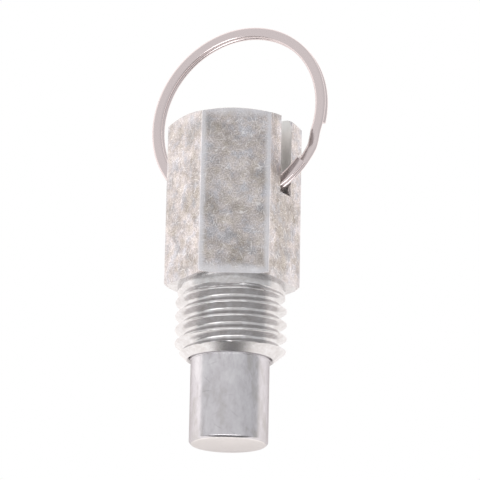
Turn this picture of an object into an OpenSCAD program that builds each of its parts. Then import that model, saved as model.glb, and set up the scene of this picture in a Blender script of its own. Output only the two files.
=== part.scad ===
// Spring plunger pull pin: a hexagon barrel with an external thread, a round
// sprung nose, and a split ring through the plunger's stem that is both the
// pull and the stop. It lies on one hexagon flat, as it would on a table.
// Row frame, mm: the pin's axis is Y, nose toward -Y and ring toward +Y, the
// hexagon's underside (the seat) at Y = 0, and Z up.
// The pieces are drawn upright, axis along Z and front face toward -Y, and
// lay_down() turns them into the row frame.

/* [Barrel] */
// Width across the hexagon's flats
hex_af = 21; // [19:0.5:24]
// Height of the hexagon from the seat to its flat end
hex_len = 30.6; // [20:0.1:40]
// Radius of the flat left by the turned end chamfer
hex_end_r = 9.8; // [8:0.1:10.5]
// Slope of the hexagon's end chamfer, from the end plane
hex_end_angle = 22; // [15:1:30]
// Radius of the flat seat inside the corner breaks
seat_r = 11.4; // [10.6:0.1:12]
// Slope of the corner breaks at the seat
seat_angle = 30; // [15:1:45]
// Radial gap between the plunger's guide land and the bore
bore_clearance = 0.05; // [0.02:0.01:0.1]
// Height of the inner shoulder that the spring pushes on
shoulder_z = 12.4; // [10:0.1:13]
// Chamfer at the bore's mouth
mouth_chamfer = 0.4; // [0.2:0.05:0.6]

/* [Thread] */
// Crest radius of the M20 thread
thread_r = 9.95; // [9.8:0.01:10]
// Thread pitch
thread_pitch = 2.5; // [1:0.25:3]
// Root radius of the thread
root_r = 8.6; // [8.4:0.01:8.8]
// Axial width of the crest
crest_w = 0.4; // [0.2:0.05:0.6]
// Half angle of the thread's flanks
flank_angle = 30; // [25:1:35]
// Length of the threaded shank below the seat
shank_len = 13.4; // [10:0.1:20]
// Radius of the plain neck under the hexagon
neck_r = 9.6; // [9:0.05:9.9]
// Length of the plain neck
neck_len = 1.4; // [1:0.1:3]
// Distance under the seat where the crests start to rise above the neck
crest_fade = 2; // [1.5:0.1:3]
// Crest height at the right-hand side, nearest under the seat
crest_z = -1.75; // [-2.5:0.05:-1.5]
// Radius of the flat rim at the shank's end
rim_r = 7.8; // [7.6:0.05:8.4]
// Length of the end chamfer along the axis
end_chamfer_len = 1.8; // [1:0.1:2.5]
// Degrees between two sections of the thread's ridge
thread_step = 12; // [6:1:20]

/* [Slot] */
// Width of the slot for the ring
slot_w = 4; // [3:0.1:5]
// Radius of the milling cutter that leaves the curved floor
cutter_r = 35; // [25:1:50]
// Height of the slot's floor on the axis
slot_floor_z = 14.5; // [13.5:0.1:16]

/* [Plunger] */
// Radius of the round nose
nose_r = 7; // [6:0.05:7.5]
// Distance from the seat to the nose's end
nose_end = 28.6; // [22:0.1:35]
// Chamfer at the edge of the nose's end face
nose_chamfer = 0.45; // [0.2:0.05:1]
// Distance from the seat to the head's back, which the spring pushes on
head_back = 9.9; // [8:0.1:12]
// How far the head's guide land stands proud of the ground nose
guide_step = 0.2; // [0.16:0.01:0.3]
// How far the guide land reaches out of the threaded end at rest
guide_reach = 0.2; // [0:0.1:1]
// Radius of the stem
stem_r = 3.5; // [3:0.05:4]
// Radial gap between the stem and its hole in the barrel
stem_clearance = 0.1; // [0.02:0.01:0.2]
// Height of the stem's end
stem_top = 19; // [18:0.1:21]
// Chamfer at the stem's end
stem_chamfer = 0.4; // [0.2:0.05:0.8]
// Height of the cross hole that the ring passes through
eye_z = 15.8; // [15:0.1:17]
// Radius of the cross hole
eye_r = 1.8; // [1.6:0.05:2]

/* [Spring] */
// Wire diameter of the return spring
wire_d = 0.9; // [0.6:0.05:1.1]
// Outside radius of the return spring
spring_r = 6.6; // [6:0.05:6.9]
// Open coils between the closed end coils
open_coils = 4.5; // [3:0.5:7]
// Closed coils at each end
closed_coils = 1; // [0.75:0.25:1.5]
// Gap left at each end face of the spring
end_gap = 0.02; // [0.01:0.01:0.1]

/* [Ring] */
// Outside radius of the split ring
ring_r = 17.5; // [15:0.1:20]
// Radial width of its flat wire
ring_w = 2; // [1.5:0.05:2.4]
// Thickness of one turn of its wire
turn_t = 0.95; // [0.8:0.01:1]
// Gap between the two turns
turn_gap = 0.06; // [0.02:0.01:0.1]
// Corner break of the wire
wire_break = 0.25; // [0.1:0.05:0.4]
// Where the front turn starts, from the slot's direction
ring_start = -37; // [-60:1:-20]
// Degrees of the front turn before the wire steps to the back
turn_arc = 338; // [320:1:345]
// Degrees of the step between the turns
step_arc = 13; // [8:1:14]
// Degrees from the back turn's end to the step
end_space = 5; // [1:0.5:10]
// Share of the step that each of its two bends takes up
step_bend = 0.3; // [0.1:0.05:0.5]
// Degrees between two sections of the wire
ring_step = 6; // [3:1:12]
// Number of sections along the step
step_sections = 8; // [4:1:16]
// Lean of the ring toward the table, which it rests on
ring_lean = 5.1; // [0:0.05:9]
// Turn of the ring about the pin's axis, inside the slot's play
ring_twist = 1.6; // [-2:0.1:2]

/* [Colours] */
// Zinc-plated steel of the barrel
barrel_colour = "#9a9690"; // color
// Nickel-plated steel of the plunger
plunger_colour = "#b4b4b8"; // color
// Spring steel
spring_colour = "#7c7c80"; // color
// Polished steel of the ring
ring_colour = "#c0b8b8"; // color

/* [Hidden] */
$fn = 96;
tiny = 0.01;
hex_corner_r = hex_af / sqrt(3);
guide_r = nose_r + guide_step;
bore_r = guide_r + bore_clearance;
stem_hole_r = stem_r + stem_clearance;
slot_turn = -30;
spring_low = -head_back + end_gap;
spring_high = shoulder_z - end_gap;
ring_mid_r = ring_r - ring_w / 2;
turn_offset = (turn_t + turn_gap) / 2;

// Turns an upright sub-part into the row frame.
module lay_down() {
  rotate([-90, 0, 0])
    children();
}

// Faces of a closed sweep of n sections with m points each.
function sweep_faces(n, m) = concat(
  [[for (j = [0 : m - 1]) j]],
  [
    for (i = [0 : n - 2], j = [0 : m - 1])
      [i * m + j, (i + 1) * m + j, (i + 1) * m + (j + 1) % m]
  ],
  [
    for (i = [0 : n - 2], j = [0 : m - 1])
      [i * m + j, (i + 1) * m + (j + 1) % m, i * m + (j + 1) % m]
  ],
  [[for (j = [m - 1 : -1 : 0]) (n - 1) * m + j]]
);

// A point at an angle, radius and height about the Z axis.
function around(angle, r, z) = [r * cos(angle), r * sin(angle), z];

// Ramp from 0 to 1 over 0..1, with a round bend at each end.
function ramp(t, bend) =
  let (
    c = min(max(t, 0), 1),
    slope = 1 / (1 - bend)
  )
  c < bend
    ? slope * c * c / bend / 2
    : c > 1 - bend
      ? 1 - slope * (1 - c) * (1 - c) / bend / 2
      : slope * (c - bend / 2);

// Barrel: hexagon, neck and thread, bored for the plunger and slotted.
module hexagon() {
  end_drop = (hex_corner_r - hex_end_r) * tan(hex_end_angle);
  seat_rise = (hex_corner_r - seat_r) * tan(seat_angle);
  intersection() {
    cylinder(r = hex_corner_r, h = hex_len, $fn = 6);
    rotate_extrude()
      polygon([
        [0, 0],
        [seat_r, 0],
        [hex_corner_r, seat_rise],
        [hex_corner_r, hex_len - end_drop],
        [hex_end_r, hex_len],
        [0, hex_len]
      ]);
  }
}

// Crest radius at a height: full, or fading out into the neck.
function crest_limit(z) =
  min(thread_r, neck_r - (z + crest_fade) * tan(flank_angle));

// One section of the thread's ridge, from below the root to the crest.
function ridge_section(angle, z) =
  let (
    sunk = 0.35,
    foot = crest_w / 2 + (thread_r - root_r + sunk) * tan(flank_angle)
  )
  [
    around(angle, root_r - sunk, z - foot),
    around(angle, crest_limit(z - crest_w / 2), z - crest_w / 2),
    around(angle, crest_limit(z + crest_w / 2), z + crest_w / 2),
    around(angle, root_r - sunk, z + foot)
  ];

// Right-hand ridge, from inside the neck to past the shank's end.
module thread_ridge() {
  lead_in = 90;
  turns = (shank_len + crest_z) / thread_pitch + 0.75;
  steps = ceil((turns * 360 + lead_in) / thread_step);
  sections = [
    for (i = [0 : steps])
      let (angle = lead_in - i * thread_step)
      ridge_section(angle, crest_z + angle / 360 * thread_pitch)
  ];
  polyhedron(
    points = [for (s = sections) each s],
    faces = sweep_faces(steps + 1, 4),
    convexity = 10
  );
}

// Root cylinder and neck under the hexagon.
module shank_core() {
  rotate_extrude()
    polygon([
      [0, -shank_len],
      [root_r, -shank_len],
      [root_r, -neck_len - neck_r + root_r],
      [neck_r, -neck_len],
      [neck_r, tiny],
      [0, tiny]
    ]);
}

// What the end plane and the end chamfer leave of the shank.
module shank_envelope() {
  reach = 1;
  slope = (thread_r - rim_r) / end_chamfer_len;
  rotate_extrude()
    polygon([
      [0, -shank_len],
      [rim_r, -shank_len],
      [thread_r + reach, -shank_len + end_chamfer_len + reach / slope],
      [thread_r + reach, reach],
      [0, reach]
    ]);
}

module threaded_shank() {
  intersection() {
    union() {
      shank_core();
      thread_ridge();
    }
    shank_envelope();
  }
}

module barrel_bores() {
  rotate_extrude()
    polygon([
      [0, -shank_len - 1],
      [bore_r + mouth_chamfer + 1, -shank_len - 1],
      [bore_r, -shank_len + mouth_chamfer],
      [bore_r, shoulder_z],
      [0, shoulder_z]
    ]);
  cylinder(r = stem_hole_r, h = hex_len + 1);
}

module ring_slot() {
  rotate([0, 0, slot_turn])
    translate([0, 0, slot_floor_z + cutter_r])
      rotate([90, 0, 0])
        cylinder(r = cutter_r, h = slot_w, center = true, $fn = 180);
}

module barrel() {
  color(barrel_colour)
    lay_down()
      difference() {
        union() {
          hexagon();
          threaded_shank();
        }
        barrel_bores();
        ring_slot();
      }
}

// Plunger: nose and head in one, with a stem that has the ring's cross hole.
module plunger() {
  color(plunger_colour)
    lay_down()
      difference() {
        union() {
          nose_and_head();
          translate([0, 0, -head_back - tiny])
            cylinder(r = stem_r, h = stem_top + head_back - stem_chamfer + tiny);
          translate([0, 0, stem_top - stem_chamfer])
            cylinder(r1 = stem_r, r2 = stem_r - stem_chamfer, h = stem_chamfer);
        }
        translate([0, 0, eye_z])
          rotate([0, 90, slot_turn])
            cylinder(r = eye_r, h = 3 * stem_r, center = true);
      }
}

// The chamfered nose, and the wider guide land that runs in the bore.
module nose_and_head() {
  land_z = -shank_len - guide_reach;
  rotate_extrude()
    polygon([
      [0, -nose_end],
      [nose_r - nose_chamfer, -nose_end],
      [nose_r, nose_chamfer - nose_end],
      [nose_r, land_z],
      [guide_r, land_z],
      [guide_r, -head_back],
      [0, -head_back]
    ]);
}

// Height along the spring at a share of its coils, closed at both ends.
function coil_height(turn) =
  let (
    low = spring_low + wire_d / 2,
    high = spring_high - wire_d / 2,
    closed_rise = closed_coils * wire_d * 1.04,
    total = open_coils + 2 * closed_coils,
    into_top = turn - total + closed_coils,
    open_share = (turn - closed_coils) / open_coils,
    open_rise = high - low - 2 * closed_rise
  )
  turn < closed_coils
    ? low + turn * wire_d * 1.04
    : into_top > 0
      ? high - closed_rise + into_top * wire_d * 1.04
      : low + closed_rise + open_share * open_rise;

// One round section of the spring's wire.
function coil_section(turn, sides) =
  let (mid_r = spring_r - wire_d / 2, angle = turn * 360)
  [
    for (j = [0 : sides - 1])
      let (a = -j * 360 / sides)
      around(
        angle,
        mid_r + wire_d / 2 * cos(a),
        coil_height(turn) + wire_d / 2 * sin(a)
      )
  ];

module return_spring() {
  sides = 8;
  total = open_coils + 2 * closed_coils;
  steps = total * 20;
  sections = [for (i = [0 : steps]) coil_section(i * total / steps, sides)];
  color(spring_colour)
    lay_down()
      polyhedron(
        points = [for (s = sections) each s],
        faces = sweep_faces(steps + 1, sides),
        convexity = 20
      );
}

// Sideways place of the ring's wire after an arc from its start.
function turn_side(arc) =
  turn_offset * (1 - 2 * ramp((arc - turn_arc) / step_arc, step_bend));

// One section of the ring's wire, as [along the slot, across it, up].
function ring_section(arc) =
  let (
    a = ring_start - arc,
    half_w = ring_w / 2,
    half_t = turn_t / 2,
    k = wire_break
  )
  [
    for (
      p = [
        [half_w, half_t - k],
        [half_w - k, half_t],
        [k - half_w, half_t],
        [-half_w, half_t - k],
        [-half_w, k - half_t],
        [k - half_w, -half_t],
        [half_w - k, -half_t],
        [half_w, k - half_t]
      ]
    )
      let (r = ring_mid_r + p[0])
      [r * cos(a), -turn_side(arc) - p[1], ring_mid_r + r * sin(a)]
  ];

// Even steps from one arc to another, without the last.
function arcs_between(start, end, steps) =
  [for (i = [0 : steps - 1]) start + i * (end - start) / steps];

module split_ring() {
  arc_total = 360 + turn_arc - end_space;
  step_end = turn_arc + step_arc;
  arcs = concat(
    arcs_between(0, turn_arc, ceil(turn_arc / ring_step)),
    arcs_between(turn_arc, step_end, step_sections),
    arcs_between(step_end, arc_total, ceil((arc_total - step_end) / ring_step)),
    [arc_total]
  );
  sections = [for (arc = arcs) ring_section(arc)];
  color(ring_colour)
    lay_down()
      translate([0, 0, eye_z])
        rotate([0, 0, slot_turn + ring_twist])
          rotate([-ring_lean, 0, 0])
            polyhedron(
              points = [for (s = sections) each s],
              faces = sweep_faces(len(arcs), 8),
              convexity = 20
            );
}

barrel();
plunger();
return_spring();
split_ring();
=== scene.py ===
"""Looks of the spring plunger pull pin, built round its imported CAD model.

Every piece is drawn upright in millimetres, as in the part's source: the pin's
axis is Z, the hexagon's seat is at 0 and the front flat faces -Y. LAY_DOWN then
turns it into the row frame, where the pin lies on its back flat."""

import math

import bmesh
import bpy
from mathutils import Matrix, Vector


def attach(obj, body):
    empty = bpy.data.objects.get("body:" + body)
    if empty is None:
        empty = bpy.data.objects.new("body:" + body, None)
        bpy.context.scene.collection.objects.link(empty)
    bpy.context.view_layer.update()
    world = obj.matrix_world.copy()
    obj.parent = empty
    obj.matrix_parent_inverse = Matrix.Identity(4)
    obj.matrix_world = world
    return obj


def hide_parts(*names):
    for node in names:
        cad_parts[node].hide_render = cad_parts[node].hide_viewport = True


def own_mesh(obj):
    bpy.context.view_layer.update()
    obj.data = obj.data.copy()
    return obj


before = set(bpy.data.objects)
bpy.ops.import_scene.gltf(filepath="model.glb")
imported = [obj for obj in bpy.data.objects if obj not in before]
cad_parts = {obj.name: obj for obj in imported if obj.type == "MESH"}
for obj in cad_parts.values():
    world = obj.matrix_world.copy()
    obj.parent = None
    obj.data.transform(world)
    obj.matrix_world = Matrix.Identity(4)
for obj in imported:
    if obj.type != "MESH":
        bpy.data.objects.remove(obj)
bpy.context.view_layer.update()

MM = 0.001
LAY_DOWN = Matrix.Rotation(math.radians(-90), 4, "X") @ Matrix.Scale(MM, 4)

# Barrel
HEX_AF = 21.0
HEX_CORNER_R = HEX_AF / math.sqrt(3)
HEX_LEN = 30.6
HEX_END_R = 9.8
HEX_END_ANGLE = 22.0
SEAT_R = 11.4
SEAT_ANGLE = 30.0
BORE_R = 7.25
SHOULDER_Z = 12.4
MOUTH_CHAMFER = 0.4
HEX_EDGE_ROUND = 0.14
EDGE_ROUND = 0.12

# Thread
THREAD_R = 9.95
THREAD_PITCH = 2.5
ROOT_R = 8.6
CREST_W = 0.26
FLANK_ANGLE = 30.0
SHANK_LEN = 13.4
NECK_R = 9.6
NECK_LEN = 1.4
CREST_FADE = 2.0
CREST_Z = -1.75
RIM_R = 7.8
END_CHAMFER_LEN = 1.8
CREST_ROUND = 0.1
ROOT_ROUND = 0.28

# Slot
SLOT_W = 4.0
CUTTER_R = 35.0
SLOT_FLOOR_Z = 14.5
SLOT_TURN = -30.0

# Plunger
NOSE_R = 7.0
NOSE_END = 28.6
NOSE_CHAMFER = 0.45
NOSE_EDGE_ROUND = 0.12
HEAD_BACK = 9.9
GUIDE_R = 7.2
GUIDE_REACH = 0.2
STEM_R = 3.5
STEM_HOLE_R = 3.6
STEM_TOP = 19.0
STEM_CHAMFER = 0.4
EYE_Z = 15.8
EYE_R = 1.8

# Spring
WIRE_D = 0.9
SPRING_R = 6.6
OPEN_COILS = 4.5
CLOSED_COILS = 1.0
END_GAP = 0.02

# Ring
RING_R = 17.5
RING_CENTRE = 16.5
RING_W = 1.95
TURN_T = 0.93
TURN_GAP = 0.08
WIRE_ROUND = 0.44
WIRE_SHOULDER = 0.72
RING_START = -37.0
TURN_ARC = 338.0
STEP_ARC = 13.0
END_SPACE = 5.0
STEP_BEND = 0.3
RING_LEAN = 5.1
RING_TWIST = 1.6

# How finely round forms are drawn
AROUND = 300


def arc_points(centre, radius, start, end, steps):
    """Points on an arc in a plane, angles in degrees."""
    angles = [math.radians(start + (end - start) * i / steps) for i in range(steps + 1)]
    return [
        (centre[0] + radius * math.cos(a), centre[1] + radius * math.sin(a))
        for a in angles
    ]


def lathe(outline, closed=False, segments=AROUND):
    """Turns a half outline of (radius, height) points about Z."""
    bm = bmesh.new()
    rings = []
    for r, z in outline:
        if r < 1e-6:
            rings.append([bm.verts.new((0, 0, z))])
            continue
        angles = [math.tau * i / segments for i in range(segments)]
        rings.append([bm.verts.new((r * math.cos(a), r * math.sin(a), z)) for a in angles])
    pairs = list(zip(rings, rings[1:]))
    if closed:
        pairs.append((rings[-1], rings[0]))
    for low, high in pairs:
        for i in range(segments):
            j = (i + 1) % segments
            corners = [low[i % len(low)], low[j % len(low)], high[j % len(high)], high[i % len(high)]]
            bm.faces.new(list(dict.fromkeys(corners)))
    bmesh.ops.recalc_face_normals(bm, faces=bm.faces)
    return bm


def sweep(sections):
    """A closed solid through sections that each have the same number of points."""
    bm = bmesh.new()
    rings = [[bm.verts.new(p) for p in section] for section in sections]
    count = len(rings[0])
    for near, far in zip(rings, rings[1:]):
        for i in range(count):
            j = (i + 1) % count
            bm.faces.new((near[i], near[j], far[j], far[i]))
    bm.faces.new(rings[0])
    bm.faces.new(rings[-1])
    bmesh.ops.recalc_face_normals(bm, faces=bm.faces)
    return bm


def add_mesh(bm, other):
    """Adds another solid's faces to bm."""
    mesh = bpy.data.meshes.new("part")
    other.to_mesh(mesh)
    other.free()
    bm.from_mesh(mesh)
    bpy.data.meshes.remove(mesh)


def boolean(solid, tool, operation="DIFFERENCE"):
    """The solid left by an exact boolean."""
    objects = []
    for bm in (solid, tool):
        mesh = bpy.data.meshes.new("boolean")
        bm.to_mesh(mesh)
        bm.free()
        objects.append(bpy.data.objects.new("boolean", mesh))
        bpy.context.scene.collection.objects.link(objects[-1])
    modifier = objects[0].modifiers.new("cut", "BOOLEAN")
    modifier.operation = operation
    modifier.object = objects[1]
    modifier.solver = "EXACT"
    result = bmesh.new()
    result.from_object(objects[0], bpy.context.evaluated_depsgraph_get())
    for o in objects:
        mesh = o.data
        bpy.data.objects.remove(o)
        bpy.data.meshes.remove(mesh)
    bmesh.ops.remove_doubles(result, verts=result.verts, dist=1e-4)
    return result


def round_edges(bm, width, sharper_than, segments=3):
    """Rounds the edges that are sharper than an angle."""
    limit = math.radians(sharper_than)
    edges = [e for e in bm.edges if e.is_manifold and e.calc_face_angle() > limit]
    bmesh.ops.bevel(
        bm, geom=edges, offset=width, segments=segments, profile=0.5,
        affect="EDGES", clamp_overlap=True,
    )


def make_piece(name, bm, body, material, node, smooth_below=32.0):
    """Lays a drawn solid down as a piece that stands for a CAD node."""
    bmesh.ops.recalc_face_normals(bm, faces=bm.faces)
    bm.transform(LAY_DOWN)
    mesh = bpy.data.meshes.new(name)
    bm.to_mesh(mesh)
    bm.free()
    mesh.shade_smooth()
    mesh.set_sharp_from_angle(angle=math.radians(smooth_below))
    piece = bpy.data.objects.new(name, mesh)
    bpy.context.scene.collection.objects.link(piece)
    piece.data.materials.append(material)
    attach(piece, body)
    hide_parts(node)
    return piece


def hexagon():
    """The barrel's hexagon with its chamfers, slot and bores."""
    corners = [(HEX_CORNER_R, math.radians(60 * i)) for i in range(6)]
    section = [(r * math.cos(a), r * math.sin(a)) for r, a in corners]
    prism = sweep([[(x, y, z) for x, y in section] for z in (0, HEX_LEN)])
    upright = [e for e in prism.edges if abs(e.verts[0].co.z - e.verts[1].co.z) > 1]
    bmesh.ops.bevel(
        prism, geom=upright, offset=HEX_EDGE_ROUND, segments=4, profile=0.5, affect="EDGES"
    )
    end_drop = (HEX_CORNER_R + 1 - HEX_END_R) * math.tan(math.radians(HEX_END_ANGLE))
    seat_rise = (HEX_CORNER_R + 1 - SEAT_R) * math.tan(math.radians(SEAT_ANGLE))
    envelope = lathe([
        (0, 0), (SEAT_R, 0), (HEX_CORNER_R + 1, seat_rise),
        (HEX_CORNER_R + 1, HEX_LEN - end_drop), (HEX_END_R, HEX_LEN), (0, HEX_LEN),
    ])
    solid = boolean(prism, envelope, "INTERSECT")
    cutter = lathe(
        [(0, -SLOT_W / 2), (CUTTER_R, -SLOT_W / 2), (CUTTER_R, SLOT_W / 2), (0, SLOT_W / 2)],
        segments=720,
    )
    cutter.transform(
        Matrix.Rotation(math.radians(SLOT_TURN), 4, "Z")
        @ Matrix.Translation((0, 0, SLOT_FLOOR_Z + CUTTER_R))
        @ Matrix.Rotation(math.radians(90), 4, "X")
    )
    solid = boolean(solid, cutter)
    solid = boolean(solid, lathe([(0, -1), (BORE_R, -1), (BORE_R, SHOULDER_Z), (0, SHOULDER_Z)]))
    stem_hole = [(0, SHOULDER_Z - 1), (STEM_HOLE_R, SHOULDER_Z - 1)]
    stem_hole += [(STEM_HOLE_R, HEX_LEN + 1), (0, HEX_LEN + 1)]
    solid = boolean(solid, lathe(stem_hole))
    round_edges(solid, EDGE_ROUND, sharper_than=40)
    return solid


def smooth_min(a, b, k):
    """The lesser of two lengths, with a round of about k where they cross."""
    h = max(0.0, min(1.0, 0.5 + 0.5 * (b - a) / k))
    return b + (a - b) * h - k * h * (1 - h)


def sharp_thread_r(offset):
    """Radius of the unrounded thread at an axial distance from a crest."""
    from_crest = abs((offset + THREAD_PITCH / 2) % THREAD_PITCH - THREAD_PITCH / 2)
    drop = (from_crest - CREST_W / 2) / math.tan(math.radians(FLANK_ANGLE))
    return max(ROOT_R, THREAD_R - max(0.0, drop))


def thread_r(offset):
    """The thread's radius with its crest a little rounded and its root more."""
    from_crest = abs((offset + THREAD_PITCH / 2) % THREAD_PITCH - THREAD_PITCH / 2)
    reach = CREST_ROUND if from_crest < THREAD_PITCH / 4 else ROOT_ROUND
    samples = 8
    near = [reach * (2 * i / samples - 1) for i in range(samples + 1)]
    return sum(sharp_thread_r(offset + d) for d in near) / len(near)


def shank_r(angle, z):
    """Radius of the shank's surface at an angle and a height."""
    radius = thread_r(z - CREST_Z - THREAD_PITCH * angle / 360)
    fade = NECK_R - (z + CREST_FADE) * math.tan(math.radians(FLANK_ANGLE))
    neck = NECK_R + z + NECK_LEN
    chamfer_slope = (THREAD_R - RIM_R) / END_CHAMFER_LEN
    chamfer = RIM_R + (z + SHANK_LEN) * chamfer_slope
    radius = -smooth_min(-smooth_min(radius, fade, 0.12), -neck, 0.12)
    return smooth_min(radius, chamfer, 0.06) if z > -SHANK_LEN else RIM_R


def shank():
    """The threaded shank: below the neck, rows of faces run along the helix."""
    flank = (THREAD_R - ROOT_R) * math.tan(math.radians(FLANK_ANGLE))
    root_edge = CREST_W / 2 + flank
    half = THREAD_PITCH / 2
    offsets = [0.0]
    for edge, reach in ((CREST_W / 2, CREST_ROUND), (root_edge, ROOT_ROUND)):
        offsets += [edge + reach * k / 3 for k in (-3, -2, -1, 0, 1, 2, 3)]
    offsets += [CREST_W / 2 + flank * k / 8 for k in (2, 3, 4)]
    offsets += [(root_edge + ROOT_ROUND + half) / 2]
    phases = sorted([-half] + offsets + [-o for o in offsets if o])
    turns = math.ceil(SHANK_LEN / THREAD_PITCH) + 2
    rows = [CREST_Z + (k - turns) * THREAD_PITCH + p for k in range(turns + 2) for p in phases]
    bm = bmesh.new()
    grid = []
    for i in range(AROUND):
        angle = 360 * i / AROUND
        a = math.radians(angle)
        column = []
        for row in rows:
            z = min(-NECK_LEN, max(-SHANK_LEN, row + THREAD_PITCH * angle / 360))
            r = shank_r(angle, z)
            column.append(bm.verts.new((r * math.cos(a), r * math.sin(a), z)))
        grid.append(column)
    count, last = len(phases), len(rows) - 1
    for i in range(AROUND):
        near, far = grid[i], grid[(i + 1) % AROUND]
        shift = count if i == AROUND - 1 else 0
        for j in range(last):
            a, b = min(j + shift, last), min(j + 1 + shift, last)
            corners = [near[j], far[a], far[b], near[j + 1]]
            if len(set(corners)) > 2:
                bm.faces.new(list(dict.fromkeys(corners)))
    add_mesh(bm, lathe([
        (NECK_R, -NECK_LEN), (NECK_R, 0), (BORE_R, 0), (BORE_R, MOUTH_CHAMFER - SHANK_LEN),
        (BORE_R + MOUTH_CHAMFER, -SHANK_LEN), (RIM_R, -SHANK_LEN),
    ]))
    bmesh.ops.remove_doubles(bm, verts=bm.verts, dist=2e-4)
    return bm


def plunger():
    """The plunger: nose and head in one, and the stem with the ring's eye."""
    flat_r, chamfer_z = NOSE_R - NOSE_CHAMFER, NOSE_CHAMFER - NOSE_END
    land_z = -SHANK_LEN - GUIDE_REACH
    outline = [(0, -NOSE_END), (flat_r, -NOSE_END), (NOSE_R, chamfer_z), (NOSE_R, land_z)]
    outline += [(GUIDE_R, land_z), (GUIDE_R, -HEAD_BACK), (STEM_R, -HEAD_BACK)]
    outline += [(STEM_R, STEM_TOP - STEM_CHAMFER), (STEM_R - STEM_CHAMFER, STEM_TOP), (0, STEM_TOP)]
    solid = lathe(outline)
    round_edges(solid, NOSE_EDGE_ROUND, sharper_than=30)
    eye = lathe([(0, -9), (EYE_R, -9), (EYE_R, 9), (0, 9)], segments=96)
    eye.transform(
        Matrix.Translation((0, 0, EYE_Z))
        @ Matrix.Rotation(math.radians(SLOT_TURN), 4, "Z")
        @ Matrix.Rotation(math.radians(90), 4, "Y")
    )
    return boolean(solid, eye)


def coil_height(turn):
    """Height of the spring's wire after so many coils."""
    low = -HEAD_BACK + END_GAP + WIRE_D / 2
    high = SHOULDER_Z - END_GAP - WIRE_D / 2
    rise = WIRE_D * 1.04
    total = OPEN_COILS + 2 * CLOSED_COILS
    if turn < CLOSED_COILS:
        return low + turn * rise
    if turn > total - CLOSED_COILS:
        return high - (total - turn) * rise
    share = (turn - CLOSED_COILS) / OPEN_COILS
    return low + CLOSED_COILS * rise + share * (high - low - 2 * CLOSED_COILS * rise)


def spring():
    """The return spring at rest."""
    total = OPEN_COILS + 2 * CLOSED_COILS
    steps = int(total * 48)
    middle = SPRING_R - WIRE_D / 2
    sections = []
    for i in range(steps + 1):
        turn = i * total / steps
        a = math.tau * turn
        section = arc_points((middle, coil_height(turn)), WIRE_D / 2, 0, 337.5, 15)
        sections.append([(r * math.cos(a), r * math.sin(a), z) for r, z in section])
    return sweep(sections)


def ramp(t):
    """A straight climb from 0 to 1 with a bend at each end."""
    t = min(max(t, 0.0), 1.0)
    slope = 1 / (1 - STEP_BEND)
    if t < STEP_BEND:
        return slope * t * t / STEP_BEND / 2
    if t > 1 - STEP_BEND:
        return 1 - slope * (1 - t) * (1 - t) / STEP_BEND / 2
    return slope * (t - STEP_BEND / 2)


def wire_section():
    """Rounded outline of the ring's wire as (outward, toward the front)."""
    x, y = RING_W / 2 - WIRE_SHOULDER, TURN_T / 2 - WIRE_ROUND
    outline = []
    for i, (cx, cy) in enumerate([(x, y), (-x, y), (-x, -y), (x, -y)]):
        corner = arc_points((0, 0), 1, 90 * i, 90 * i + 90, 8)
        outline += [(cx + WIRE_SHOULDER * u, cy + WIRE_ROUND * v) for u, v in corner]
    return outline


def ring():
    """The split ring: two turns of one wire with a step between them."""
    total = 360 + TURN_ARC - END_SPACE
    count = int(total / 0.6)
    places = [total * i / count for i in range(count + 1)]
    middle = RING_R - RING_W / 2
    outline = wire_section()
    sections = []
    for along in places:
        a = math.radians(RING_START - along)
        side = (TURN_T + TURN_GAP) / 2 * (1 - 2 * ramp((along - TURN_ARC) / STEP_ARC))
        sections.append([
            ((middle + u) * math.cos(a), -side - v, RING_CENTRE + (middle + u) * math.sin(a))
            for u, v in outline
        ])
    bm = sweep(sections)
    bm.transform(
        Matrix.Translation((0, 0, EYE_Z))
        @ Matrix.Rotation(math.radians(SLOT_TURN + RING_TWIST), 4, "Z")
        @ Matrix.Rotation(math.radians(-RING_LEAN), 4, "X")
    )
    return bm


def linear(hex_colour):
    """A linear colour from an sRGB hex value."""
    values = [int(hex_colour[i : i + 2], 16) / 255 for i in (1, 3, 5)]
    return [v / 12.92 if v <= 0.04045 else ((v + 0.055) / 1.055) ** 2.4 for v in values] + [1.0]


def add(tree, kind, inputs=None, stops=(), **settings):
    """Adds a shader node with its settings, colour stops, input values and links."""
    node = tree.nodes.new("ShaderNode" + kind)
    for name, value in settings.items():
        setattr(node, name, value)
    for i, (position, hex_colour) in enumerate(stops):
        elements = node.color_ramp.elements
        stop = elements[i] if i < 2 else elements.new(position)
        stop.position, stop.color = position, linear(hex_colour)
    for name, value in (inputs or {}).items():
        if isinstance(value, bpy.types.NodeSocket):
            tree.links.new(value, node.inputs[name])
        else:
            node.inputs[name].default_value = value
    return node


def new_material(name, metallic, roughness):
    """A material with its node tree and its shader."""
    material = bpy.data.materials.new(name)
    material.use_nodes = True
    tree = material.node_tree
    shader = tree.nodes["Principled BSDF"]
    shader.inputs["Metallic"].default_value = metallic
    shader.inputs["Roughness"].default_value = roughness
    return material, tree, shader


def millimetres(tree):
    """The piece's own coordinates in millimetres."""
    own = add(tree, "TexCoord").outputs["Object"]
    return add(tree, "VectorMath", {0: own, "Scale": 1000.0}, operation="SCALE").outputs["Vector"]


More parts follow.
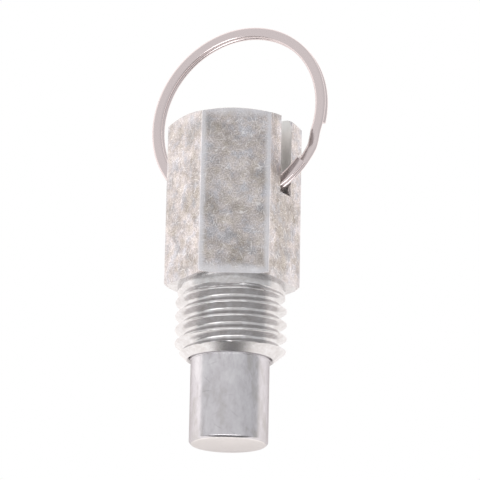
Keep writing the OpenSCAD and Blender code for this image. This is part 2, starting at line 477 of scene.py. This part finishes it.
def edge_distance(tree, place):
    """Distance in mm from the hexagon's nearest long edge, on its flats."""
    heights = []
    for i in range(3):
        a = math.radians(60 * i)
        normal = (math.sin(a), 0.0, math.cos(a))
        dot = add(tree, "VectorMath", {0: place, 1: normal}, operation="DOT_PRODUCT")
        heights.append(add(tree, "Math", {0: dot.outputs["Value"]}, operation="ABSOLUTE").outputs["Value"])
    low = add(tree, "Math", {0: heights[0], 1: heights[1]}, operation="MINIMUM").outputs["Value"]
    high = add(tree, "Math", {0: heights[0], 1: heights[1]}, operation="MAXIMUM").outputs["Value"]
    third = add(tree, "Math", {0: high, 1: heights[2]}, operation="MINIMUM").outputs["Value"]
    middle = add(tree, "Math", {0: low, 1: third}, operation="MAXIMUM").outputs["Value"]
    slope = 1 / math.sin(math.radians(60))
    return add(
        tree, "Math", {0: middle, 1: -slope, 2: slope * HEX_AF / 2}, operation="MULTIPLY_ADD"
    ).outputs["Value"]


def end_distance(tree, place):
    """Distance in mm from the hexagon's nearer end."""
    along = add(tree, "SeparateXYZ", {"Vector": place}).outputs["Y"]
    from_middle = add(tree, "Math", {0: along, 1: HEX_LEN / 2}, operation="SUBTRACT")
    apart = add(tree, "Math", {0: from_middle.outputs["Value"]}, operation="ABSOLUTE")
    return add(tree, "Math", {0: HEX_LEN / 2, 1: apart.outputs["Value"]}, operation="SUBTRACT").outputs["Value"]


def scratches(tree, place, spacing, width, turn):
    """Fine straight scratches in every direction, one in each cell of a 3-D pattern."""
    turned_place = add(tree, "Mapping", {"Vector": place, "Rotation": turn}).outputs["Vector"]
    cells = add(tree, "TexVoronoi", {"Vector": turned_place, "Scale": 1 / spacing})
    offset = add(tree, "VectorMath", {0: turned_place, 1: cells.outputs["Position"]}, operation="SUBTRACT")
    turned = add(
        tree, "VectorMath", {0: cells.outputs["Color"], 1: (2, 2, 2), 2: (-1, -1, -1)},
        operation="MULTIPLY_ADD",
    )
    across = add(tree, "VectorMath", {0: turned.outputs["Vector"]}, operation="NORMALIZE")
    away = add(
        tree, "VectorMath", {0: offset.outputs["Vector"], 1: across.outputs["Vector"]},
        operation="DOT_PRODUCT",
    )
    apart = add(tree, "Math", {0: away.outputs["Value"]}, operation="ABSOLUTE")
    line = add(
        tree, "MapRange",
        {"Value": apart.outputs["Value"], "From Min": width / 2, "From Max": width, "To Min": 1.0, "To Max": 0.0},
    )
    short = add(
        tree, "MapRange",
        {"Value": cells.outputs["Distance"], "From Min": 0.2, "From Max": 0.5, "To Min": 1.0, "To Max": 0.0},
    )
    return add(
        tree, "Math", {0: line.outputs["Result"], 1: short.outputs["Result"]}, operation="MULTIPLY"
    ).outputs["Value"]


def zinc_plated_steel():
    """Zinc plate on the drawn bar's flats, tumbled in a bath with other parts.

    It is a pale matt grey with soft dark and light mottling, and small scratches
    in all directions. A soft band along each edge has stayed plain and a little bluer."""
    material, tree, shader = new_material("zinc_plated_flats", 1.0, 0.4)
    place = millimetres(tree)
    grain = add(tree, "TexNoise", {"Vector": place, "Scale": 4.0, "Detail": 3.0, "Roughness": 0.8})
    mottle = add(tree, "TexNoise", {"Vector": place, "Scale": 0.6, "Detail": 4.0, "Roughness": 0.6})
    patches = add(tree, "TexNoise", {"Vector": place, "Scale": 0.16, "Detail": 2.0, "Roughness": 0.6})
    mixed = add(tree, "Math", {0: grain.outputs["Fac"], 1: 0.86}, operation="MULTIPLY")
    mixed = add(tree, "Math", {0: mottle.outputs["Fac"], 1: 0.3, 2: mixed.outputs["Value"]},
                operation="MULTIPLY_ADD")
    grey = add(
        tree, "ValToRGB", {"Fac": mixed.outputs["Value"]}, stops=[(0.46, "#a19d9a"), (0.58, "#c0bbba"), (0.7, "#dbd7d7")]
    ).outputs["Color"]
    tint = add(
        tree, "ValToRGB", {"Fac": patches.outputs["Fac"]}, stops=[(0.4, "#dcdbd8"), (0.5, "#f1f0f0"), (0.6, "#ffffff")]
    ).outputs["Color"]
    hue = add(tree, "TexNoise", {"Vector": place, "Scale": 0.45, "Detail": 3.0, "Roughness": 0.7, "W": 7.0},
              noise_dimensions="4D")
    cast = add(
        tree, "ValToRGB", {"Fac": hue.outputs["Fac"]}, stops=[(0.38, "#fffbf5"), (0.5, "#fffcfc"), (0.62, "#f4f8ff")]
    ).outputs["Color"]
    worn = add(tree, "MixRGB", {"Fac": 1.0, "Color1": grey, "Color2": tint}, blend_type="MULTIPLY")
    worn = add(tree, "MixRGB", {"Fac": 1.0, "Color1": worn.outputs["Color"], "Color2": cast},
               blend_type="MULTIPLY")
    marks = scratches(tree, place, spacing=0.8, width=0.05, turn=(0.4, 0.9, 0.2))
    for spacing, turn in ((1.3, (1.1, 0.3, 0.7)), (2.2, (0.2, 0.5, 1.3))):
        more = scratches(tree, place, spacing, width=0.055, turn=turn)
        marks = add(tree, "Math", {0: marks, 1: more}, operation="MAXIMUM").outputs["Value"]
    pale = add(tree, "Math", {0: marks, 1: 0.6}, operation="MULTIPLY")
    scratched = add(tree, "MixRGB", {"Fac": pale.outputs["Value"], "Color1": worn.outputs["Color"],
                                     "Color2": linear("#e6e4e3")})
    long_edge = add(tree, "Math", {0: edge_distance(tree, place), 1: 1.9}, operation="MULTIPLY")
    near = add(tree, "Math", {0: long_edge.outputs["Value"], 1: end_distance(tree, place)}, operation="MINIMUM")
    wander = add(tree, "Math", {0: mottle.outputs["Fac"], 1: 2.4, 2: near.outputs["Value"]},
                 operation="MULTIPLY_ADD")
    plain = add(tree, "MapRange", {"Value": wander.outputs["Value"], "From Min": 1.6, "From Max": 3.4,
                                   "To Min": 0.7, "To Max": 0.0}, interpolation_type="SMOOTHSTEP")
    level = add(tree, "SeparateXYZ", {"Vector": place}).outputs["Z"]
    level = add(tree, "Math", {0: level}, operation="ABSOLUTE").outputs["Value"]
    skin = add(tree, "MapRange", {"Value": level, "From Min": HEX_AF / 2 - 0.3, "From Max": HEX_AF / 2 - 0.1,
                                  "To Min": 0.25, "To Max": 1.0})
    plain = add(tree, "Math", {0: plain.outputs["Result"], 1: skin.outputs["Result"]}, operation="MULTIPLY")
    finished = add(tree, "MixRGB", {"Fac": plain.outputs["Value"], "Color1": scratched.outputs["Color"],
                                    "Color2": linear("#dad9dd")})
    tree.links.new(finished.outputs["Color"], shader.inputs["Base Color"])
    rough = add(tree, "MapRange", {"Value": mottle.outputs["Fac"], "From Min": 0.3, "From Max": 0.7,
                                   "To Min": 0.44, "To Max": 0.34})
    tree.links.new(rough.outputs["Result"], shader.inputs["Roughness"])
    bump = add(tree, "Bump", {"Strength": 0.3, "Distance": 0.00003, "Height": grain.outputs["Fac"]})
    tree.links.new(bump.outputs["Normal"], shader.inputs["Normal"])
    return material


def zinc_plated_cut():
    """Zinc plate on what was milled and turned: the slot, the chamfers and the end.

    The plate is smooth there and paler than on the drawn flats."""
    material, tree, shader = new_material("zinc_plated_cut", 1.0, 0.34)
    place = millimetres(tree)
    drawn = add(tree, "VectorMath", {0: place, 1: (1.0, 0.3, 1.0)}, operation="MULTIPLY").outputs["Vector"]
    blotch = add(tree, "TexNoise", {"Vector": drawn, "Scale": 0.9, "Detail": 3.0})
    base = add(
        tree, "ValToRGB", {"Fac": blotch.outputs["Fac"]}, stops=[(0.35, "#d1cfcd"), (0.65, "#dfdddc")]
    ).outputs["Color"]
    tree.links.new(base, shader.inputs["Base Color"])
    return material


def zinc_plated_thread():
    """Zinc plate on the cut thread, with soft blotches; its tone is a hair paler on the crests than in the roots."""
    material, tree, shader = new_material("zinc_plated_thread", 1.0, 0.25)
    place = millimetres(tree)
    apart = add(tree, "SeparateXYZ", {"Vector": place})
    flat = add(tree, "CombineXYZ", {"X": apart.outputs["X"], "Y": apart.outputs["Z"]})
    radius = add(tree, "VectorMath", {0: flat.outputs["Vector"]}, operation="LENGTH")
    height = add(tree, "MapRange", {"Value": radius.outputs["Value"], "From Min": ROOT_R, "From Max": THREAD_R})
    blotch = add(tree, "TexNoise", {"Vector": place, "Scale": 0.9, "Detail": 4.0, "Roughness": 0.65})
    # A hair paler towards the crests than in the roots.
    grey = add(
        tree, "ValToRGB", {"Fac": height.outputs["Result"]}, stops=[(0.0, "#cbcacb"), (1.0, "#cccbcc")]
    ).outputs["Color"]
    tint = add(
        tree, "ValToRGB", {"Fac": blotch.outputs["Fac"]}, stops=[(0.35, "#ebe8e6"), (0.65, "#ffffff")]
    ).outputs["Color"]
    finished = add(tree, "MixRGB", {"Fac": 1.0, "Color1": grey, "Color2": tint}, blend_type="MULTIPLY")
    tree.links.new(finished.outputs["Color"], shader.inputs["Base Color"])
    return material


def nickel_plated_steel():
    """Ground and plated plunger: satin, with soft cloudy blotches and a few scratches. Its flat nose end is painted
    paler, a painted reflection of the bright table before it.
    """
    material, tree, shader = new_material("nickel_plated_steel", 1.0, 0.24)
    shader.inputs["Specular Tint"].default_value = linear("#c8c6c6")
    place = millimetres(tree)
    drawn = add(tree, "VectorMath", {0: place, 1: (1.0, 0.45, 1.0)}, operation="MULTIPLY").outputs["Vector"]
    blotch = add(tree, "TexNoise", {"Vector": drawn, "Scale": 0.8, "Detail": 5.0, "Roughness": 0.7})
    cloud = add(tree, "TexNoise", {"Vector": drawn, "Scale": 0.25, "Detail": 1.0})
    mixed = add(tree, "Math", {0: cloud.outputs["Fac"], 1: 0.45}, operation="MULTIPLY")
    mixed = add(tree, "Math", {0: blotch.outputs["Fac"], 1: 0.55, 2: mixed.outputs["Value"]},
                operation="MULTIPLY_ADD")
    grey = add(
        tree, "ValToRGB", {"Fac": mixed.outputs["Value"]}, stops=[(0.38, "#b0adad"), (0.5, "#bfbcc0"), (0.62, "#cbc9cc")]
    ).outputs["Color"]
    marks = scratches(tree, place, spacing=2.6, width=0.05, turn=(0.3, 0.8, 0.5))
    faint = add(tree, "Math", {0: marks, 1: 0.4}, operation="MULTIPLY")
    marked = add(tree, "MixRGB", {"Fac": faint.outputs["Value"], "Color1": grey, "Color2": linear("#8f8c8c")})
    # The nose's flat end is mixed towards pale grey: painted light, a painted reflection of the bright table that the
    # end mirrors.
    along = add(tree, "SeparateXYZ", {"Vector": place}).outputs["Y"]
    end = add(tree, "MapRange", {"Value": along, "From Min": -NOSE_END + 0.05, "From Max": -NOSE_END + 0.15,
                                 "To Min": 0.8, "To Max": 0.0})
    finished = add(tree, "MixRGB", {"Fac": end.outputs["Result"], "Color1": marked.outputs["Color"],
                                    "Color2": linear("#dcd9d7")})
    tree.links.new(finished.outputs["Color"], shader.inputs["Base Color"])
    return material


def polished_steel():
    """Bright plated wire of the ring."""
    material, tree, shader = new_material("polished_steel", 1.0, 0.17)
    shader.inputs["Base Color"].default_value = linear("#cbc0c0")
    return material


def spring_steel():
    """Bare drawn spring wire."""
    material, tree, shader = new_material("spring_steel", 1.0, 0.35)
    shader.inputs["Base Color"].default_value = linear("#8c8c90")
    return material


def build_object():
    """All the pieces, each riding on its body."""
    nickel = nickel_plated_steel()
    body = hexagon()
    body.normal_update()
    for face in body.faces:
        centre = face.calc_center_median()
        sides = [math.radians(60 * i + 30) for i in range(6)]
        reach = max(centre.x * math.cos(a) + centre.y * math.sin(a) for a in sides)
        if centre.z < 0.1 and face.normal.z < -0.5:
            face.material_index = 1
        elif reach < HEX_AF / 2 - 0.3:
            face.material_index = 2
    thread = shank()
    for face in thread.faces:
        face.material_index = 1
    add_mesh(body, thread)
    barrel = make_piece("hexagon_barrel", body, "barrel", zinc_plated_steel(), "barrel")
    barrel.data.materials.append(zinc_plated_thread())
    barrel.data.materials.append(zinc_plated_cut())
    make_piece("sprung_plunger", plunger(), "plunger", nickel, "plunger")
    make_piece("pull_ring", ring(), "ring", polished_steel(), "split_ring")
    coil = make_piece("coil_spring", spring(), "barrel", spring_steel(), "return_spring")
    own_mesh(coil)


# The photograph's camera: it looks down on the pin from the nose's side
PHOTO_PX = 480
PX_MM = 0.178176
CAMERA_DISTANCE = 547.85
CAMERA_TILT = 15.62
CAMERA_YAW = 1.476
CAMERA_ROLL = 1.18
SEAT_PX = (231.71, 287.81)
SENSOR_MM = 36.0


def make_camera():
    """The camera at the photograph's viewing angle."""
    turn = Matrix.Rotation(math.radians(-CAMERA_YAW), 3, "Z")
    tilt, roll = math.radians(CAMERA_TILT), math.radians(CAMERA_ROLL)
    ahead = Vector((0, math.cos(tilt), math.sin(tilt)))
    level_up = Vector((0, -math.sin(tilt), math.cos(tilt)))
    level_right = Vector((1, 0, 0))
    right = math.cos(roll) * level_right + math.sin(roll) * level_up
    up = math.cos(roll) * level_up - math.sin(roll) * level_right
    middle = PHOTO_PX / 2
    aim = (middle - SEAT_PX[0]) * PX_MM * right + (SEAT_PX[1] - middle) * PX_MM * up
    axes = [LAY_DOWN.to_3x3().normalized() @ (turn @ v) for v in (right, up, -ahead)]
    place = LAY_DOWN @ (turn @ (aim - ahead * CAMERA_DISTANCE))
    data = bpy.data.cameras.new("camera")
    data.sensor_width = SENSOR_MM
    data.lens = SENSOR_MM * CAMERA_DISTANCE / (PHOTO_PX * PX_MM)
    data.clip_start, data.clip_end = 0.01, 10.0
    camera = bpy.data.objects.new("camera", data)
    bpy.context.scene.collection.objects.link(camera)
    camera.matrix_world = Matrix.Translation(place) @ Matrix(axes).transposed().to_4x4()
    bpy.context.scene.camera = camera


def make_plane(name, height):
    """A large level plane, part of the stage."""
    bm = bmesh.new()
    bmesh.ops.create_grid(bm, x_segments=1, y_segments=1, size=3.0)
    mesh = bpy.data.meshes.new(name)
    bm.to_mesh(mesh)
    bm.free()
    plane = bpy.data.objects.new(name, mesh)
    plane.location.z = height
    bpy.context.scene.collection.objects.link(plane)
    return plane


def make_floor():
    """A plain white table top under the pin.

    The photograph is exposed so that the table is quite white. The metal mirrors
    the same table with its soft shades, so that side of it is a second plane."""
    height = -HEX_AF / 2 * MM
    seen = make_plane("table_top", height)
    material, tree, shader = new_material("white_table", 0.0, 0.9)
    shader.inputs["Base Color"].default_value = linear("#000000")
    shader.inputs["Specular IOR Level"].default_value = 0.0
    shader.inputs["Emission Color"].default_value = linear("#ffffff")
    shader.inputs["Emission Strength"].default_value = 1.0
    seen.data.materials.append(material)
    seen.visible_glossy = seen.visible_diffuse = seen.visible_shadow = False
    mirrored = make_plane("table_in_reflections", height)
    material, tree, shader = new_material("white_table_in_reflections", 0.0, 0.9)
    shader.inputs["Base Color"].default_value = linear("#f3f0ee")
    shader.inputs["Specular IOR Level"].default_value = 0.0
    shader.inputs["Emission Color"].default_value = linear("#fffbf9")
    # The table seen in reflections glows, a little brighter to the left than to the right: painted light on the table,
    # standing in for the room's light falling from the left.
    across = add(tree, "SeparateXYZ", {"Vector": add(tree, "TexCoord").outputs["Object"]}).outputs["X"]
    painted_table_light = add(tree, "MapRange", {"Value": across, "From Min": -0.05, "From Max": 0.05,
                                  "To Min": 0.6, "To Max": 0.49})
    tree.links.new(painted_table_light.outputs["Result"], shader.inputs["Emission Strength"])
    mirrored.data.materials.append(material)
    mirrored.visible_camera = False


def area_light(name, place, toward, size, radiance, colour="#ffffff"):
    """A soft box, placed and aimed in metres in the row frame."""
    data = bpy.data.lights.new(name, "AREA")
    data.shape = "RECTANGLE"
    data.size, data.size_y = size
    data.energy = radiance * math.pi * size[0] * size[1]
    data.color = linear(colour)[:3]
    lamp = bpy.data.objects.new(name, data)
    bpy.context.scene.collection.objects.link(lamp)
    lamp.location = place
    lamp.rotation_euler = (Vector(toward) - Vector(place)).to_track_quat("-Z", "Y").to_euler()


def make_flag(name, place, size, shade):
    """A dark card out of the picture, standing across the pin's axis, for the pin to reflect."""
    bm = bmesh.new()
    bmesh.ops.create_grid(bm, x_segments=1, y_segments=1, size=0.5)
    mesh = bpy.data.meshes.new(name)
    bm.to_mesh(mesh)
    bm.free()
    flag = bpy.data.objects.new(name, mesh)
    flag.scale = (size[0], size[1], 1)
    flag.rotation_euler = (math.radians(90), 0, 0)
    flag.location = place
    flag.visible_camera = False
    material, tree, shader = new_material(name, 0.0, 0.9)
    shader.inputs["Base Color"].default_value = linear(shade)
    mesh.materials.append(material)
    bpy.context.scene.collection.objects.link(flag)


def light_studio():
    """Soft studio light: a pale room over a white table, and one window in front."""
    scene = bpy.context.scene
    scene.view_settings.view_transform = "Standard"
    world = bpy.data.worlds.new("studio")
    scene.world = world
    world.use_nodes = True
    tree = world.node_tree
    way = add(tree, "SeparateXYZ", {"Vector": add(tree, "TexCoord").outputs["Generated"]})
    share = add(tree, "MapRange", {"Value": way.outputs["X"], "From Min": -0.3, "From Max": 0.9})
    room = add(
        tree, "ValToRGB", {"Fac": share.outputs["Result"]}, stops=[(0.0, "#ffffff"), (1.0, "#e9eaeb")]
    ).outputs["Color"]
    sky = tree.nodes["Background"]
    tree.links.new(room, sky.inputs["Color"])
    sky.inputs["Strength"].default_value = 1.0
    area_light("window", (-0.12, -0.55, 0.45), (0, -0.01, 0), (1.0, 0.22), 3.8)
    make_flag("dark_flag", (-0.3, -0.6, 0.12), (2.4, 0.26), "#303030")


build_object()
make_camera()
make_floor()
light_studio()
